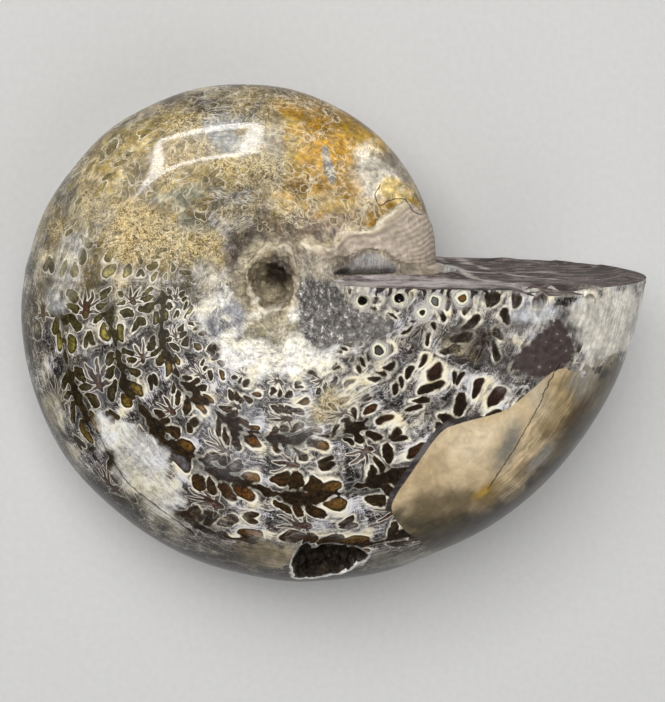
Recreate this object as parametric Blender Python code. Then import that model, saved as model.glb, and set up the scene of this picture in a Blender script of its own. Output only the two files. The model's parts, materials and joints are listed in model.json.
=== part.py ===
"""A whole ammonite fossil, sawn across its last whorl and laid on its far flank.

The shell is one turn of a logarithmic spiral about the coil axis. In the shell's own
axes the coil axis is Z, the sawn face looks towards +Y, and the whorl ends at +X.
"""

import math

import bmesh
import bpy
import numpy as np
from mathutils import Euler, Matrix, Vector

MM = 0.001

# Growth of the shell.
OUTER_RADIUS = 83.5 * MM  # coil axis to the keel line at the end of the turn
TURN_GROWTH = 2.29  # radius at the end of a turn over radius at its start
CRUSH = 0.982  # burial has flattened the coil a little along Y

# Cross-section of the whorl, as shares of the radius to the keel line.
HALF_THICKNESS = 0.323
WIDEST_AT = 0.50
KEEL_POWER = 2.5  # above 2, fuller than an ellipse towards the keel
AXIS_THINNING = 0.26  # how much thinner the flank is at the axis than at its widest

# Worn flat on the keel, where the outline leaves the spiral.
FLAT_ANGLE = math.radians(301.0)
FLAT_SPREAD = math.radians(13.0)
FLAT_DEPTH = 0.011

# Umbilicus, the funnel round the coil axis on both flanks.
FUNNEL_FLOOR = 6.5 * MM  # heights are above the middle plane
RIM_HEIGHT = 12.5 * MM
PIT_RADII = (1.5 * MM, 6.5 * MM)  # from the floor up to the rim
SHOULDER_RADII = (2.5 * MM, 20.0 * MM)  # from the rim out to the flank

# Saw cut across the last whorl: y = CUT_OFFSET - x tan(CUT_TURN) - z tan(CUT_LEAN).
CUT_OFFSET = 3.3 * MM
CUT_TURN = math.radians(0.8)
CUT_LEAN = math.radians(5.6)
CUT_START = 12.0 * MM  # distance from the coil axis at which the sawn face begins

# Saddle of matrix that eases the last whorl down to the first, inside the sawn face.
SADDLE_FADE = 7.0 * MM
SADDLE_SPREAD = math.radians(75.0)

# Collar of matrix that rises from the sawn face to the inner whorl.
COLLAR_RISE = 2.1 * MM
COLLAR_FADE = 6.0 * MM
COLLAR_FOOT = 0.7  # share of the way across the sawn face at which the collar begins to rise
CUT_FACE_STEPS = (0.25, 0.5, 0.7, 0.82, 0.92)  # shares of the way from the rim to the inner whorl

# Fineness of the mesh.
TURN_STEPS = 84
RING_RADII = (1.5 * MM, 3.2 * MM, 4.8 * MM, 6.5 * MM, 9.0 * MM)
FLANK_STEPS = 18
ROUND_RADIUS = 60.0 * MM  # lines run round the axis near it, and along the spiral outside
SPIRAL_SHARE = 0.7

# How it lies: turned about X, then about Y, onto the far flank.
REST_TURN = Euler((math.radians(3.06), math.radians(-5.40), 0.0))

GROWTH_RATE = math.log(TURN_GROWTH) / math.tau
START_RADIUS = OUTER_RADIUS / TURN_GROWTH
START_SHARE = CUT_START / ROUND_RADIUS


def smoothstep(value):
    value = min(max(value, 0.0), 1.0)
    return value * value * (3.0 - 2.0 * value)


def ease(value, low, high):
    """0 up to low, 1 from high, smooth between."""
    return smoothstep((value - low) / (high - low))


def keel_radius(angle):
    """Distance from the coil axis to the keel line at a growth angle."""
    worn = FLAT_DEPTH * math.exp(-(((angle - FLAT_ANGLE) / FLAT_SPREAD) ** 2))
    return START_RADIUS * math.exp(GROWTH_RATE * angle) * (1.0 - worn)


def section_height(share):
    """Half-thickness of a whorl of unit radius, at a share of the way from axis to keel."""
    if share >= WIDEST_AT:
        out = (share - WIDEST_AT) / (1.0 - WIDEST_AT)
        return HALF_THICKNESS * math.sqrt(max(0.0, 1.0 - out**KEEL_POWER))
    inwards = (WIDEST_AT - share) / WIDEST_AT
    return HALF_THICKNESS * (1.0 - AXIS_THINNING * inwards**2)


def flank_shares():
    """Shares from the sawn face's inner end to the keel, evenly spaced along the section."""
    out = 1.0 - np.linspace(1.0, 0.0, 600) ** 3
    fine = START_SHARE + (1.0 - START_SHARE) * out
    heights = np.array([section_height(share) for share in fine])
    lengths = np.concatenate([[0.0], np.cumsum(np.hypot(np.diff(fine), np.diff(heights)))])
    return np.interp(np.linspace(0.0, lengths[-1], FLANK_STEPS + 1), lengths, fine)


def line_radius(share, angle):
    """Distance from the axis of one line of the flank: a circle at the sawn face's inner
    end, and a share of the way to the keel towards the outside."""
    spiral = min((share - START_SHARE) / (SPIRAL_SHARE - START_SHARE), 1.0)
    return share * ROUND_RADIUS ** (1.0 - spiral) * keel_radius(angle) ** spiral


def flank_height(radius, angle):
    """Height of the flank above the middle plane, with the umbilicus."""
    keel = keel_radius(angle)
    flank = keel * section_height(min(radius / keel, 1.0))
    pit = FUNNEL_FLOOR + (RIM_HEIGHT - FUNNEL_FLOOR) * ease(radius, *PIT_RADII)
    return pit + (flank - RIM_HEIGHT) * ease(radius, *SHOULDER_RADII)


def saw_angle(radius):
    """Growth angle past a turn at which the middle of the saw cut is met."""
    return math.asin(CUT_OFFSET / (CRUSH * max(radius, CUT_START)))


def saddle_height(radius, angle):
    """Matrix left between the end of the last whorl and the first whorl, near the axis."""
    start = saw_angle(radius)
    step = flank_height(radius, math.tau + start) - flank_height(radius, start)
    near_axis = 1.0 - ease(radius, CUT_START, CUT_START + SADDLE_FADE)
    return step * near_axis * (1.0 - smoothstep((angle - start) / SADDLE_SPREAD))


def shell_point(radius, side, angle):
    """Point on the near flank (side +1), the far flank (-1) or the keel (0)."""
    height = flank_height(radius, angle)
    if angle < math.pi:
        height += saddle_height(radius, angle)
    return Vector((radius * math.cos(angle), CRUSH * radius * math.sin(angle), side * height))


def cut_height(point):
    """Height in Y of the saw cut."""
    return CUT_OFFSET - point.x * math.tan(CUT_TURN) - point.z * math.tan(CUT_LEAN)


def angle_at(share, side, turn, rise):
    """Growth angle at which a line of the flank reaches a height above the saw cut."""
    angle = turn + saw_angle(line_radius(share, turn))
    for _ in range(12):
        radius = line_radius(share, angle)
        level = cut_height(shell_point(radius, side, angle)) + rise
        angle = turn + math.asin(level / (CRUSH * radius))
    return angle


def flank_line(share, side):
    """One line: from the collar round the coil to the saw cut, and back across the face."""
    reach = line_radius(share, 0.0)
    first = angle_at(share, side, 0.0, COLLAR_RISE * ease(reach, CUT_START, CUT_START + COLLAR_FADE))
    last = angle_at(share, side, math.tau, 0.0)
    points = []
    for angle in np.linspace(first, last, TURN_STEPS + 1):
        points.append(shell_point(line_radius(share, angle), side, angle))
    rim, foot = points[-1], points[0]
    rim.y = cut_height(rim)
    rise = foot.y - cut_height(foot)
    for step in CUT_FACE_STEPS:
        point = rim.lerp(foot, step)
        point.y = cut_height(point) + rise * max(0.0, (step - COLLAR_FOOT) / (1.0 - COLLAR_FOOT)) ** 2
        points.append(point)
    return points


def ring(radius, side):
    """A circle round the axis, inside the sawn face."""
    start = saw_angle(radius)
    angles = np.linspace(start, start + math.tau, TURN_STEPS, endpoint=False)
    return [shell_point(radius, side, angle) for angle in angles]


def half_rows(bm, side):
    """Rows of vertices on one flank, from the axis out to the last line before the keel."""
    rows = []
    for radius in (*RING_RADII, CUT_START):
        row = [bm.verts.new(point) for point in ring(radius, side)]
        rows.append(row + [row[0]] * (1 + len(CUT_FACE_STEPS)))
    for share in flank_shares()[1:-1]:
        rows.append([bm.verts.new(point) for point in flank_line(share, side)])
    return rows


def ammonite_mesh():
    """Closed skin of rows that run once round the coil and back across the sawn face."""
    bm = bmesh.new()
    keel = [bm.verts.new(point) for point in flank_line(1.0, 0)]
    near = half_rows(bm, 1)
    far = half_rows(bm, -1)
    near_floor = [bm.verts.new((0.0, 0.0, FUNNEL_FLOOR))] * len(keel)
    far_floor = [bm.verts.new((0.0, 0.0, -FUNNEL_FLOOR))] * len(keel)
    rows = [near_floor, *near, keel, *far[::-1], far_floor]
    for inner, outer in zip(rows, rows[1:]):
        for index in range(len(keel)):
            after = (index + 1) % len(keel)
            corners = (inner[index], outer[index], outer[after], inner[after])
            corners = list(dict.fromkeys(corners))
            if len(corners) > 2:
                bm.faces.new(corners)
    bmesh.ops.recalc_face_normals(bm, faces=bm.faces)
    bmesh.ops.triangulate(bm, faces=bm.faces)
    mesh = bpy.data.meshes.new("ammonite_fossil")
    bm.to_mesh(mesh)
    bm.free()
    return mesh


def fossil_material():
    """Polished calcite and aragonite, cream to dark brown."""
    material = bpy.data.materials.new("polished_fossil")
    material.use_nodes = True
    shader = material.node_tree.nodes["Principled BSDF"]
    shader.inputs["Base Color"].default_value = (0.30, 0.24, 0.16, 1.0)
    shader.inputs["Roughness"].default_value = 0.12
    shader.inputs["Metallic"].default_value = 0.0
    return material


def lay_down(mesh):
    """Turns the fossil onto its far flank, with the middle of its base at the origin."""
    mesh.transform(REST_TURN.to_matrix().to_4x4())
    low = Vector([min(v.co[axis] for v in mesh.vertices) for axis in range(3)])
    high = Vector([max(v.co[axis] for v in mesh.vertices) for axis in range(3)])
    middle = (low + high) / 2.0
    mesh.transform(Matrix.Translation((-middle.x, -middle.y, -low.z)))


def main():
    for obj in list(bpy.data.objects):
        bpy.data.objects.remove(obj)
    mesh = ammonite_mesh()
    lay_down(mesh)
    mesh.shade_smooth()
    mesh.set_sharp_from_angle(angle=math.radians(35.0))
    mesh.materials.append(fossil_material())
    bpy.context.scene.collection.objects.link(bpy.data.objects.new("ammonite_fossil", mesh))


main()
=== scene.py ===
import functools
import json
import math

import bpy
import numpy as np
from mathutils import Euler, Matrix, Vector

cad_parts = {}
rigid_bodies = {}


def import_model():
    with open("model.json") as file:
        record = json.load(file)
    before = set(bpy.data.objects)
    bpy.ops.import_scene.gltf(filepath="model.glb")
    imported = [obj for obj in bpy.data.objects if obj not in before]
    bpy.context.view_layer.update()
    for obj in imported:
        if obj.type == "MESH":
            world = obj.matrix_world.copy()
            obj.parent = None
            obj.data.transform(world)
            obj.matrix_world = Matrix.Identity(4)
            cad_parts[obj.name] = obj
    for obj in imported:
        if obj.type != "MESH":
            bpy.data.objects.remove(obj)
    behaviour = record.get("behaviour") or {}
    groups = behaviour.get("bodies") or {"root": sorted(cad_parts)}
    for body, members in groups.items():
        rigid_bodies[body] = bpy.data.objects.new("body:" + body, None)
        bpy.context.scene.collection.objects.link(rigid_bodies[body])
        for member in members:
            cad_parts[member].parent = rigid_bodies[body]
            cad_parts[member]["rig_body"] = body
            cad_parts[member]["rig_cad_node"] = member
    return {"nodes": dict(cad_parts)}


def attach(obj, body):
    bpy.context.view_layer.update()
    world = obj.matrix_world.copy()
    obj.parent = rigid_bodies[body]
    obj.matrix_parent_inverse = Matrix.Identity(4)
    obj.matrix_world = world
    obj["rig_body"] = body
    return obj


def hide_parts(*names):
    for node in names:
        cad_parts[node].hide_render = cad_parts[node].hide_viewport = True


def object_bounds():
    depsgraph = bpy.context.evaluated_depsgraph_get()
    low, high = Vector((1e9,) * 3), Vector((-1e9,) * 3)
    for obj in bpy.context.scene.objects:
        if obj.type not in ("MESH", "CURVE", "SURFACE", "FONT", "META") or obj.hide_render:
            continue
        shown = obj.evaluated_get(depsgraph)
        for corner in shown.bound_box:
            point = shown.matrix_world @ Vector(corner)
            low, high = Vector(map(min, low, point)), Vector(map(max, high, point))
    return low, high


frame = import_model()
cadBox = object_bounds()
mm = 0.001

# The spiral that the shell grew on, in millimetres and degrees of growth. In the coil's own axes
# the coil axis is Z, the sawn face looks towards +Y and the last whorl ends at +X.
coil = {
    "firstRadius": 36.463,  # from the coil axis to the keel where the turn starts
    "turnGrowth": 2.29,
    "crush": 0.982,  # flattened along Y by burial
    "pole": (-14.0134, 11.3793, 23.7972),  # where the coil axis meets the middle plane, as it lies
    "restTurn": (3.06, -5.40, 0.0),
    "sawOffset": 3.3,  # the sawn plane
    "sawTurn": 0.8,
    "sawLean": 5.6,
    "sawStart": 12.0,  # distance from the coil axis at which the sawn face begins
}
coilTurn = Euler([math.radians(angle) for angle in coil["restTurn"]]).to_matrix()
coilAxes = np.array(coilTurn)


def toCoil(points):
    # points in metres, as the fossil lies, to millimetres in the coil's own axes
    return (points * 1000 - np.array(coil["pole"])) @ coilAxes


def readAll(items, name, width=3, kind=float):
    # one property of all vertices, edges, loops or faces
    values = np.empty(len(items) * width, kind)
    items.foreach_get(name, values)
    return values.reshape(-1, width)


def smoothStep(value, low, high):
    share = np.clip((value - low) / (high - low), 0.0, 1.0)
    return share * share * (3.0 - 2.0 * share)


def fadeOut(value, low, high):
    # 1 up to low, 0 from high
    return 1.0 - smoothStep(value, low, high)


def between(value, start, full, fading, end):
    # 0 outside, 1 from full to fading
    return smoothStep(value, start, full) * fadeOut(value, fading, end)


def overSaw(points):
    # height above the plane of the saw cut
    x, y, z = points.T
    plane = coil["sawOffset"] - x * math.tan(math.radians(coil["sawTurn"]))
    return y - plane + z * math.tan(math.radians(coil["sawLean"]))


def keelRadius(turn):
    return coil["firstRadius"] * coil["turnGrowth"] ** (turn / 360.0)


def coilPlace(points):
    # growth angle, share of the way from the coil axis to the keel, and distance from the axis
    x, y, _ = points.T
    reach = np.hypot(x, y / coil["crush"])
    turn = np.degrees(np.arctan2(y / coil["crush"], x)) % 360.0
    # just past a whole turn: on the sawn face and its rim
    turn += 360.0 * ((turn < 60.0) & ((overSaw(points) < 0.05) | (reach > 1.04 * keelRadius(turn))))
    return turn, reach / keelRadius(turn), reach


def ripple(points, size, seed, waves=28):
    # waves in random directions added up, about 1 high, for uneven ground
    rng = np.random.default_rng(seed)
    directions = rng.normal(size=(waves, 3))
    directions /= np.linalg.norm(directions, axis=1)[:, None]
    total = np.zeros(len(points))
    for direction in directions:
        length = size * rng.uniform(0.6, 1.6)
        total += np.sin(points @ direction * math.tau / length + rng.uniform(0.0, math.tau))
    return total * math.sqrt(2.0 / waves)


def curveThrough(corners, closed, steps=8):
    # a smooth line through a few points
    corners = np.array(corners, float)
    count = len(corners)
    spans = count if closed else count - 1
    line = []
    for span in range(spans):
        picks = [span - 1, span, span + 1, span + 2]
        picks = [p % count if closed else min(max(p, 0), count - 1) for p in picks]
        before, start, end, after = corners[picks]
        for t in np.arange(steps) / steps:
            bend = (2 * before - 5 * start + 4 * end - after) * t**2
            twist = (3 * start - before - 3 * end + after) * t**3
            line.append(0.5 * (2 * start + (end - before) * t + bend + twist))
    if not closed:
        line.append(corners[-1])
    return np.array(line)


def lineDistance(flat, corners, closed=False):
    # distance from each flat point to a smooth line, and on which side of it the point is
    line = curveThrough(corners, closed)
    ends = np.roll(line, -1, axis=0) if closed else line[1:]
    starts = line if closed else line[:-1]
    nearest = np.full(len(flat), 1e9)
    side = np.ones(len(flat))
    for start, end in zip(starts, ends):
        span = end - start
        share = np.clip((flat - start) @ span / (span @ span), 0.0, 1.0)
        gap = np.linalg.norm(flat - start - share[:, None] * span, axis=1)
        closer = gap < nearest
        nearest[closer] = gap[closer]
        left = span[0] * (flat[:, 1] - start[1]) > span[1] * (flat[:, 0] - start[0])
        side[closer] = np.where(left, 1.0, -1.0)[closer]
    return nearest, side


def insideDistance(flat, corners):
    # distance to a smooth closed outline, negative inside
    gap, _ = lineDistance(flat, corners, closed=True)
    line = curveThrough(corners, closed=True)
    inside = np.zeros(len(flat), bool)
    for start, end in zip(line, np.roll(line, -1, axis=0)):
        crosses = (start[1] > flat[:, 1]) != (end[1] > flat[:, 1])
        rise = end[1] - start[1] if end[1] != start[1] else 1e-9
        at = start[0] + (flat[:, 1] - start[1]) / rise * (end[0] - start[0])
        inside ^= crosses & (flat[:, 0] < at)
    return np.where(inside, -gap, gap)


def srgb(code):
    # an sRGB hex colour as linear light
    channels = [int(code[at : at + 2], 16) / 255 for at in (0, 2, 4)]
    return [c / 12.92 if c <= 0.04045 else ((c + 0.055) / 1.055) ** 2.4 for c in channels]


# The fossil itself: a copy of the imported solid, rounded and made fine enough to carve.
shell = {
    "roundLevels": 2,
    "creaseAngle": math.radians(35),  # sharper edges than this stay sharp
    "pairAngle": math.radians(40),  # which triangles become quads
    "pairShape": math.radians(60),
    "longestEdge": 1.12 * mm,  # longer edges than this are split once more
}


def makeShell():
    bpy.ops.object.select_all(action="DESELECT")
    node = frame["nodes"]["ammonite_fossil"]
    node.select_set(True)
    bpy.context.view_layer.objects.active = node
    bpy.ops.object.duplicate()
    piece = bpy.context.view_layer.objects.active
    bpy.ops.object.parent_clear(type="CLEAR_KEEP_TRANSFORM")
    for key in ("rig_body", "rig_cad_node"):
        del piece[key]
    piece.name = piece.data.name = "polishedAmmonite"
    piece.data.materials.clear()
    bpy.ops.object.mode_set(mode="EDIT")
    bpy.ops.mesh.select_all(action="SELECT")
    bpy.ops.mesh.remove_doubles(threshold=1e-6)
    bpy.ops.mesh.customdata_custom_splitnormals_clear()
    bpy.ops.mesh.tris_convert_to_quads(face_threshold=shell["pairAngle"], shape_threshold=shell["pairShape"])
    bpy.ops.mesh.select_mode(type="EDGE")
    bpy.ops.mesh.select_all(action="DESELECT")
    bpy.ops.mesh.edges_select_sharp(sharpness=shell["creaseAngle"])
    bpy.ops.transform.edge_crease(value=1.0)
    bpy.ops.object.mode_set(mode="OBJECT")
    rounding = piece.modifiers.new("rounding", "SUBSURF")
    rounding.levels = rounding.render_levels = shell["roundLevels"]
    bpy.ops.object.modifier_apply(modifier=rounding.name)
    splitLongEdges(piece)
    print("shell rounded:", len(piece.data.vertices), "vertices")
    return piece


def splitLongEdges(piece):
    # halves the long edges, then makes the mesh all triangles
    mesh = piece.data
    ends = readAll(mesh.edges, "vertices", 2, int)
    starts, stops = readAll(mesh.vertices, "co")[ends].transpose(1, 0, 2)
    long = np.linalg.norm(stops - starts, axis=1) > shell["longestEdge"]
    bpy.ops.object.mode_set(mode="EDIT")
    bpy.ops.mesh.select_mode(type="EDGE")
    bpy.ops.mesh.select_all(action="DESELECT")
    bpy.ops.object.mode_set(mode="OBJECT")
    mesh.edges.foreach_set("select", long)
    bpy.ops.object.mode_set(mode="EDIT")
    bpy.ops.mesh.subdivide(number_cuts=1, smoothness=1.0)
    bpy.ops.mesh.select_all(action="SELECT")
    bpy.ops.mesh.quads_convert_to_tris(quad_method="BEAUTY", ngon_method="BEAUTY")
    bpy.ops.object.mode_set(mode="OBJECT")


# Where things lie on the near flank: X and Y of the coil's own axes, in millimetres.
nearPlaces = {
    "flesh": [  # smooth stone that filled the body chamber, out to the keel
        (26.5, -46), (31, -38), (36.5, -30), (41, -27.8), (50, -25.3), (55, -21.5), (61, -17), (66, -17),
        (71, -16), (76, -14), (88, -16), (86, -30), (74, -48), (58, -62), (44, -66), (37, -60), (33, -55),
        (29, -51.5),
    ],
    "crack": [(61.5, -16), (59.3, -20), (57, -25.5), (54, -31), (51, -36.5), (47.5, -42.5)],
    "goldCrack": [
        (24, 21.5), (23, 19.5), (24, 17.5), (26, 18.5), (28, 19), (30, 18.5), (30.5, 16.5), (32.5, 15.5),
    ],
    "hollow": [
        (5, -63), (5, -59.5), (6.5, -56), (8.5, -54.5), (10, -56), (12.5, -55), (17, -55.5), (20.5, -56.5),
        (22.5, -57.5), (20, -60), (17.5, -62), (13, -63.5), (8.5, -64.5), (5.5, -64.2),
    ],
    "paleCloud": [
        (-37, -25.5), (-31, -27.5), (-26, -29.5), (-22.5, -32), (-20.5, -37), (-18.5, -42),
        (-18, -46.5), (-23, -47), (-29, -42.5), (-34, -36), (-36.5, -30),
    ],
    "paleCloudCrack": [(-36.5, -31), (-31, -41), (-26, -45.5), (-18, -51.5), (-13, -54.5)],
    "greyMatrix": [
        (7, 1), (7.5, -8), (11, -12.3), (15, -11), (22, -9.8), (26.5, -8.3), (24, -5.5), (18, -4),
        (15, 0), (11, 1.5),
    ],
    "skin": [  # the outer shell, with its growth lines
        (6.5, 8.6), (8, 10), (11.2, 8.6), (14, 9.2), (16.6, 11.8), (20, 12.1), (23, 12.5), (26.3, 15.5),
        (29.6, 18), (33, 17), (36, 13.3), (38.5, 9.5), (39, 4), (34, 3.9), (28.5, 5.2), (25, 7.4),
        (21, 8.2), (17.7, 6.8), (14, 6), (10.5, 7),
    ],
    "skinLip": [
        (6.5, 8.8), (8, 10.2), (11.2, 8.8), (14, 9.4), (16.6, 12), (20, 12.3), (23, 12.7), (26.3, 15.7),
        (29.6, 18.2),
    ],
    # broken plane of grey calcite
    "facet": [(14.6, 2.9), (17.6, 4.9), (20.6, 7.2), (23.8, 7), (26.8, 5), (26.8, 3)],
    "darkShard": [
        (61, -6), (61.5, -6.5), (64.5, -11.5), (64.8, -12.5), (64, -15), (61, -17.5), (57, -18.5), (53, -17),
        (51.5, -14.5), (54.5, -11.5), (58, -8.5), (60.5, -6.2),
    ],
    "paleTip": [
        (55.5, -4), (60, -3), (70, -1.5), (82, -0.5), (82, -6), (80, -14), (76, -14.5), (71, -16.5),
        (66.5, -16.5), (66, -9), (62, -5),
    ],
    "pits": [(20.0, -2.3), (27.8, -1.9)],
    "rings": [  # x, y, half-width of the core, its colour
        (20.0, -2.3, 0.95, "0E0B08"), (27.8, -1.9, 1.05, "0E0B08"), (35.2, -2.4, 0.8, "6B6864"),
        (40.4, -1.6, 0.95, "6A4A20"), (23.6, -12.6, 1.0, "4A4540"), (32.4, -4.9, 0.7, "25201C"),
        (61.6, -13.2, 0.9, "4A443E"),
    ],
}

# Soft patches of colour on the near flank: x, y, half-length, half-width, turn, how soft the edge is,
# colour, then how strongly sutures, mottling, lace and paleness show there.
nearPatches = [
    (-8, 39, 12, 3, 0, 0.5, "5C5038", 0.3, 0.6, 0.3),
    (-43.5, 20, 3.2, 7, 25, 0.5, "5F553C", 0.5, 0.4, 0.2),
    (-33, 32, 4, 3, 45, 0.5, "6E6440", 0.6, 0.3, 0.3),
    (-9, 35.5, 7, 2.2, 0, 0.4, "74777A", 0.2, 0.5, 0.3),
    (-9, 31, 7, 3, -5, 0.5, "8D8F8C", 0.2, 0.5, 0.5),
    (-20, 27.5, 7, 3.2, 10, 0.5, "B8A076", 0.3, 0.5, 0.7),
    (-33, 26, 9, 5, 48, 0.5, "C9B27C", 0.7, 0.3, 0.4),
    (-20, 18.5, 7.5, 2.6, 12, 0.3, "97937C", 0.15, 0.2, 0.1),
    (-16, 13.5, 4, 3, 0, 0.4, "6C6850", 0.2, 0.3, 0.4),
    (-7, 15.5, 6, 6, 0, 0.5, "635C49", 0.4, 0.9, 0.5),
    (-27.5, 15, 6.5, 4.5, 0, 0.5, "BC9E62", 0.2, 0.3, 1.0),
    (-29, 9.5, 4.5, 3.5, 0, 0.5, "B8954F", 0.3, 0.3, 1.0),
    (-17, 8.5, 8, 3, 0, 0.5, "A08F64", 0.5, 0.4, 0.9),
    (-38, 16.5, 4.5, 6, 20, 0.4, "B8B09C", 0.3, 0.5, 0.8),
    (-41, 9, 4.5, 3.2, 40, 0.5, "CFCBC2", 0.3, 0.5, 0.3),
    (-44, 1.5, 3.5, 5, 0, 0.6, "BDB7A6", 0.6, 0.5, 0.3),
    (-45.5, -3.5, 2.0, 3.5, 0, 0.6, "C8CACC", 0.4, 0.2, 0.1),
    (0.5, 28, 3, 11, 0, 0.6, "A79C84", 0.3, 0.6, 0.7),
    (8, 21.5, 6, 2.6, 10, 0.5, "9E7626", 0.1, 0.05, 0.2),
    (12, 34, 7, 3, 15, 0.5, "C0923E", 0.1, 0.05, 0.2),
    (16, 28.5, 5, 4, 0, 0.6, "D0A04A", 0.1, 0.05, 0.1),
    (21.5, 32, 5.5, 2.6, -35, 0.5, "C09A44", 0.1, 0.1, 0.2),
    (7, 38.5, 6, 2.5, 0, 0.5, "AE8A4C", 0.2, 0.3, 0.5),
    (23, 24, 6.2, 5.2, -30, 0.6, "FFF6E6", 0.1, 0.0, 0.0),
    (27.5, 20.5, 4, 2.3, -20, 0.3, "F6DCA4", 0.0, 0.0, 0.0),
    (31.5, 17.6, 1.8, 1.6, 0, 0.3, "C9A650", 0.0, 0.1, 0.1),
    (14, 17.6, 9, 2.0, -5, 0.6, "C7AC78", 0.1, 0.3, 0.3),
    (13.1, 26.2, 1.1, 3.4, 12, 0.15, "85827F", 0.0, 0.2, 0.0),
    (8, 9, 13, 6.5, 15, 0.35, "A08D72", 0.0, 0.4, 0.0),
    (-5, 4, 5, 7, 0, 0.4, "A89C84", 0.0, 0.5, 0.0),
    (9, 13.0, 10, 2.4, 0, 0.5, "98846F", 0.1, 0.5, 0.3),
    (0, 12.5, 5, 3.5, 0, 0.6, "857560", 0.2, 0.7, 0.5),
    # painted shadow on the umbilicus's upper-left wall
    (-4.8, 9.2, 3.2, 5.8, -38, 0.4, "584C40", 0.0, 0.4, 0.1),
    (-12.5, 2, 3.0, 6.0, 0, 0.5, "CFC9BC", 0.1, 0.6, 0.6),
    (3, 10.2, 4.5, 2.2, 20, 0.4, "7F705B", 0.0, 0.5, 0.2),
    (6.8, 7.4, 3.2, 4.0, 0, 0.4, "948570", 0.0, 0.4, 0.0),
    (10, 4.6, 5.0, 3.2, 0, 0.5, "BDB4A3", 0.0, 0.7, 0.1),
    (0, -8.5, 7, 3.5, 0, 0.5, "C4B795", 0.0, 0.5, 0.3),
    (-9, -7.5, 4, 3.4, 30, 0.5, "B4B6BC", 0.0, 0.6, 0.0),
    (1.2, 1.6, 6.5, 7.8, 0, 0.2, "CDC1A4", 0.0, 0.2, 0.0),
    (1.2, 1.8, 5.3, 6.6, 0, 0.2, "A09378", 0.0, 0.2, 0.0),
    # darkest deep in the umbilicus: maroon stone darkened further with painted shade
    (2.2, 3.2, 2.7, 3.0, 0, 0.5, "3A2E24", 0.0, 0.1, 0.0),
    (2.6, 3.6, 1.6, 1.3, 20, 0.5, "2A1410", 0.0, 0.1, 0.0),
    (22, 5.6, 17, 4.2, 0, 0.3, "9E9385", 0.0, 0.5, 0.0),
    (-36, -19, 2.6, 6, 8, 0.6, "A3A5AE", 0.7, 0.5, 0.3),
    (-46, -27, 3.0, 6.5, 15, 0.45, "C2BCA4", 0.2, 0.4, 0.5, 0.1),
    (-43, -37, 2.6, 5, 35, 0.5, "A09A88", 0.2, 0.5, 0.3, 0.0),
    (-8, -27, 6, 5, 0, 0.6, "A0A2AC", 0.9, 0.6, 0.3),
    (-8, -38, 6, 4, 0, 0.6, "B3B5BC", 0.6, 0.7, 0.3),
    (7, -30, 5.5, 6, 0, 0.5, "C6C6C4", 0.6, 0.8, 0.5),
    (14, -24, 7, 3.5, 25, 0.5, "D8D2BC", 0.4, 0.6, 0.6),
    (-12, -49, 6, 4, 0, 0.6, "8D897F", 0.6, 0.9, 0.5),
    (12, -51, 12, 1.8, 0, 0.5, "55535A", 0.7, 0.7, 0.2),
    (43, -11, 5.5, 4.5, 0, 0.3, "2C1F13", 0.3, 0.15, 0.45),
    (59.5, -12, 8.5, 8, 0, 0.25, "8A8580", 0.1, 0.5, 0.0, 0.0),
    (51.5, -15.5, 4, 4, 0, 0.5, "4A4340", 0.3, 0.25, 0.0, -0.1),
    (57, -4.6, 6, 2.0, 0, 0.4, "C9CCD0", 0.25, 0.3, 0.0, 0.1),
    (36, -2.2, 18, 2.0, 0, 0.5, "2E2520", 0.8, 0.7, 0.0, -0.3),
    (-1.5, -58.5, 8, 4.2, -6, 0.3, "7C705A", 0.0, 0.14, 0.0),
    (1.5, -57.5, 3.4, 3.4, 0, 0.4, "8F8268", 0.0, 0.1, 0.0),
    (-11, -58, 5, 3.5, -18, 0.5, "4C463A", 0.1, 0.3, 0.0),
    (29, -60, 8.5, 3.4, 3, 0.35, "6B675C", 0.0, 0.1, 0.0),
    (-17, -56, 6, 3.2, -22, 0.5, "46423A", 0.15, 0.3, 0.0),
    (-24, -49, 7, 3.4, -35, 0.45, "9A937C", 0.1, 0.4, 0.1),
    (64, -38, 10, 4, 55, 0.5, "28221C", 0.0, 0.18, 0.0),
]
# one more, laid over the pale cloud
creamEdge = (-27, -41.5, 10, 3.6, -42, 0.5, "BDB9A8", 0.1, 0.4, 0.2, 0.3)
# patches of colour on the stone that filled the body chamber
fleshPatches = [
    (40, -33, 8, 4, 10, 0.8, "D2BE9D"),
    (34, -38, 3, 6, -30, 0.8, "B39C78"),
    (46, -30.5, 6, 2.0, 28, 0.8, "DAC7A6"),
    (57, -22.5, 2.4, 5, 25, 0.6, "BDAE92"),
    (66, -34, 22, 7.5, 62, 0.4, "64563E"),
    (63.5, -22.5, 8, 3.6, 60, 0.5, "94815E"),
    (68.5, -18.5, 6, 3.0, 50, 0.6, "8E877A"),
    (66, -29, 5, 2.2, 62, 0.6, "4A3A28"),
    (59, -36, 4, 1.6, 60, 0.5, "8D877C"),
    (42, -53, 20, 7.5, 10, 0.55, "332D21"),
    (32, -50, 8, 3.4, 4, 0.6, "4E4636"),
    (50.5, -34, 5, 2.2, 62, 0.7, "7E786C"),
    (47, -44.5, 4, 2.0, 60, 0.6, "7A663F"),
    (38, -46, 8, 2.8, 6, 0.7, "6F6149"),
    (46, -43.5, 2.2, 1.0, 40, 0.5, "A98842"),
]

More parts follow.
